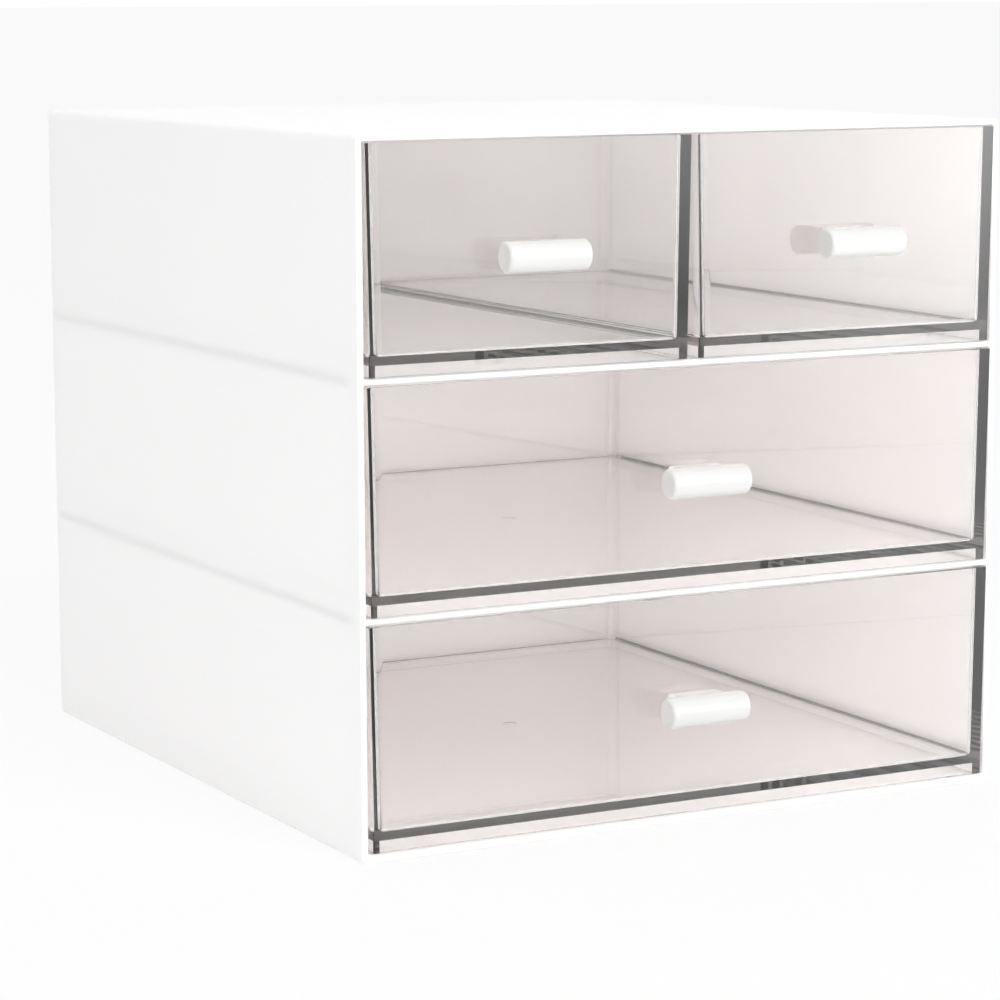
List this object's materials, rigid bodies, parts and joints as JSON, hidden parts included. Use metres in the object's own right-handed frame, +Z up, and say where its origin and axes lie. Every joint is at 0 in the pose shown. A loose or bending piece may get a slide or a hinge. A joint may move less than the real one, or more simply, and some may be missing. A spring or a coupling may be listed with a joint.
{
  "type": "makeup organizer with drawers",
  "caption": "Desktop cosmetics organizer: a thin white plastic case whose clear smoky drawers slide out to the front on small white bar handles.",
  "frame": {"origin": "centre of the flat underside of the case, on the surface it stands on", "axes": "+Z up, +X to the right seen from the front, drawers open towards -Y"},
  "size_m": [0.1524, 0.1768, 0.1448],
  "materials": {
    "white_plastic": "white moulded polystyrene, satin gloss, slightly translucent",
    "smoky_clear_plastic": "clear polystyrene with a faint warm smoky tint, polished, edges look dark",
    "handle_plastic": "white moulded plastic, glossy",
    "screw_steel": "bright zinc-plated steel"
  },
  "bodies": {
    "case": {"case_shell": "white_plastic", "case_back_panel": "white_plastic", "shelf_lower": "white_plastic", "shelf_upper": "white_plastic"},
    "bottom_drawer": {"drawer_bottom": "smoky_clear_plastic", "handle_bottom": "handle_plastic", "handle_screw_bottom": "screw_steel"},
    "middle_drawer": {"drawer_middle": "smoky_clear_plastic", "handle_middle": "handle_plastic", "handle_screw_middle": "screw_steel"},
    "top_left_drawer": {"drawer_top_left": "smoky_clear_plastic", "handle_top_left": "handle_plastic", "handle_screw_top_left": "screw_steel"},
    "top_right_drawer": {"drawer_top_right": "smoky_clear_plastic", "handle_top_right": "handle_plastic", "handle_screw_top_right": "screw_steel"}
  },
  "joints": [
    {"name": "bottom_drawer_slide", "type": "slide", "parent": "case", "child": "bottom_drawer", "axis": [0, -1, 0], "range_m": [0, 0.13]},
    {"name": "middle_drawer_slide", "type": "slide", "parent": "case", "child": "middle_drawer", "axis": [0, -1, 0], "range_m": [0, 0.13]},
    {"name": "top_left_drawer_slide", "type": "slide", "parent": "case", "child": "top_left_drawer", "axis": [0, -1, 0], "range_m": [0, 0.13]},
    {"name": "top_right_drawer_slide", "type": "slide", "parent": "case", "child": "top_right_drawer", "axis": [0, -1, 0], "range_m": [0, 0.13]}
  ]
}
